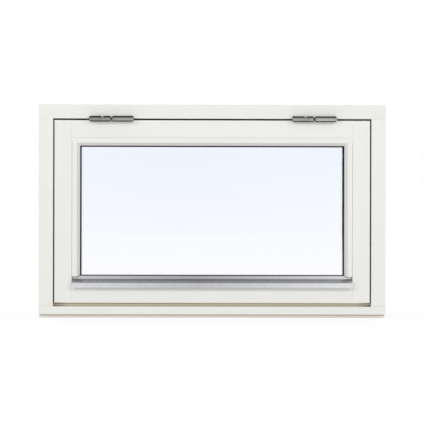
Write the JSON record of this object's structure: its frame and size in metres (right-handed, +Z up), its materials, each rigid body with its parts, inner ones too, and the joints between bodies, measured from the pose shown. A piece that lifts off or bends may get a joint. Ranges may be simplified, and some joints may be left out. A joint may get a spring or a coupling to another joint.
{
  "type": "top hung awning window",
  "caption": "Top hung timber awning window with a painted frame and sash, double glazing in bevelled beads, an aluminium drip profile and barrel hinges along the head.",
  "frame": {"origin": "on the sill's underside, midway along the sill and midway through the frame's depth", "axes": "+X to the right as seen from outside, +Y from the outside to the room, +Z up"},
  "size_m": [0.78, 0.1184, 0.48],
  "materials": {
    "painted_timber": "opaque off-white paint, satin",
    "drip_aluminium": "mill finish, fine extrusion lines",
    "hinge_steel": "zinc plated, dull",
    "pin_steel": "plain steel",
    "seal_rubber": "black, matt",
    "clear_glass": "clear float glass",
    "spacer_plastic": "black, matt",
    "handle_metal": "satin"
  },
  "bodies": {
    "root": {"frame_head": "painted_timber", "frame_sill": "painted_timber", "frame_jamb_left": "painted_timber", "frame_jamb_right": "painted_timber", "sash_top_rail": "painted_timber", "sash_bottom_rail": "painted_timber", "sash_stile_left": "painted_timber", "sash_stile_right": "painted_timber", "glazing_bead_top": "painted_timber", "glazing_bead_left": "painted_timber", "glazing_bead_right": "painted_timber", "drip_profile": "drip_aluminium", "hinge_left_frame_leaf": "hinge_steel", "hinge_left_sash_leaf": "hinge_steel", "hinge_right_frame_leaf": "hinge_steel", "hinge_right_sash_leaf": "hinge_steel", "hinge_left_pin": "pin_steel", "hinge_right_pin": "pin_steel", "glazing_gasket": "seal_rubber", "weather_seal": "seal_rubber", "glazing_tape": "seal_rubber", "glass_outer_pane": "clear_glass", "glass_inner_pane": "clear_glass", "glass_spacer": "spacer_plastic", "handle_base": "handle_metal", "handle_lever": "handle_metal"}
  },
  "joints": []
}
